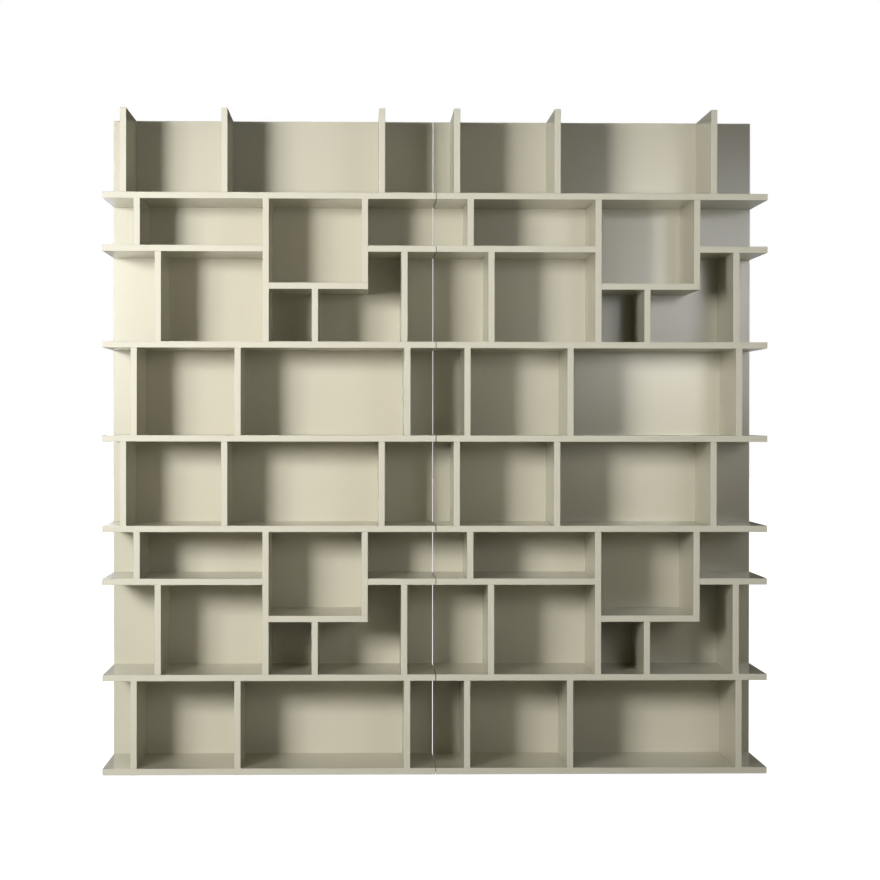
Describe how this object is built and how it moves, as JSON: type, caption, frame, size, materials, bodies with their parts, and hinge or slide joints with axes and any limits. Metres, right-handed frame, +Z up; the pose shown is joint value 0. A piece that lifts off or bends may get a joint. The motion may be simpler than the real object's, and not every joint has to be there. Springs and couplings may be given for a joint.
{
  "type": "modular bookcase",
  "caption": "Square modular bookcase in satin greige lacquered board, with staggered uprights, overhanging shelf ends, full backs and an open top row; stands on the floor against a wall.",
  "frame": {"origin": "on the floor, midway along the width and the depth of the bookcase", "axes": "+Z up, +Y from the front edges to the wall, +X to the right as seen from the front"},
  "size_m": [2.002, 0.38, 2.007],
  "materials": {
    "lacquer": "satin greige lacquer on medium-density fibreboard, edges slightly eased",
    "beech": "plain turned beech",
    "zinc_steel": "bright zinc-plated steel",
    "felt": "dense wool felt"
  },
  "bodies": {
    "root": {"felt_pads": "felt", "hanger_plates": "zinc_steel", "hanger_screws": "zinc_steel", "lower_left_back_panel": "lacquer", "lower_left_base_shelf": "lacquer", "lower_left_bottom_row_uprights": "lacquer", "lower_left_high_shelf": "lacquer", "lower_left_left_short_shelf": "lacquer", "lower_left_middle_row_uprights": "lacquer", "lower_left_middle_shelf": "lacquer", "lower_left_niche_floor": "lacquer", "lower_left_niche_post": "lacquer", "lower_left_niche_side": "lacquer", "lower_left_right_short_shelf": "lacquer", "lower_left_short_upright": "lacquer", "lower_left_tall_upright": "lacquer", "lower_left_top_row_uprights": "lacquer", "lower_right_back_panel": "lacquer", "lower_right_base_shelf": "lacquer", "lower_right_bottom_row_uprights": "lacquer", "lower_right_high_shelf": "lacquer", "lower_right_left_short_shelf": "lacquer", "lower_right_middle_row_uprights": "lacquer", "lower_right_middle_shelf": "lacquer", "lower_right_niche_floor": "lacquer", "lower_right_niche_post": "lacquer", "lower_right_niche_side": "lacquer", "lower_right_right_short_shelf": "lacquer", "lower_right_short_upright": "lacquer", "lower_right_tall_upright": "lacquer", "lower_right_top_row_uprights": "lacquer", "stacking_pins": "beech", "upper_left_back_panel": "lacquer", "upper_left_base_shelf": "lacquer", "upper_left_bottom_row_uprights": "lacquer", "upper_left_high_shelf": "lacquer", "upper_left_left_short_shelf": "lacquer", "upper_left_middle_row_uprights": "lacquer", "upper_left_middle_shelf": "lacquer", "upper_left_niche_floor": "lacquer", "upper_left_niche_post": "lacquer", "upper_left_niche_side": "lacquer", "upper_left_right_short_shelf": "lacquer", "upper_left_short_upright": "lacquer", "upper_left_tall_upright": "lacquer", "upper_left_top_row_uprights": "lacquer", "upper_right_back_panel": "lacquer", "upper_right_base_shelf": "lacquer", "upper_right_bottom_row_uprights": "lacquer", "upper_right_high_shelf": "lacquer", "upper_right_left_short_shelf": "lacquer", "upper_right_middle_row_uprights": "lacquer", "upper_right_middle_shelf": "lacquer", "upper_right_niche_floor": "lacquer", "upper_right_niche_post": "lacquer", "upper_right_niche_side": "lacquer", "upper_right_right_short_shelf": "lacquer", "upper_right_short_upright": "lacquer", "upper_right_tall_upright": "lacquer", "upper_right_top_row_uprights": "lacquer"}
  },
  "joints": []
}
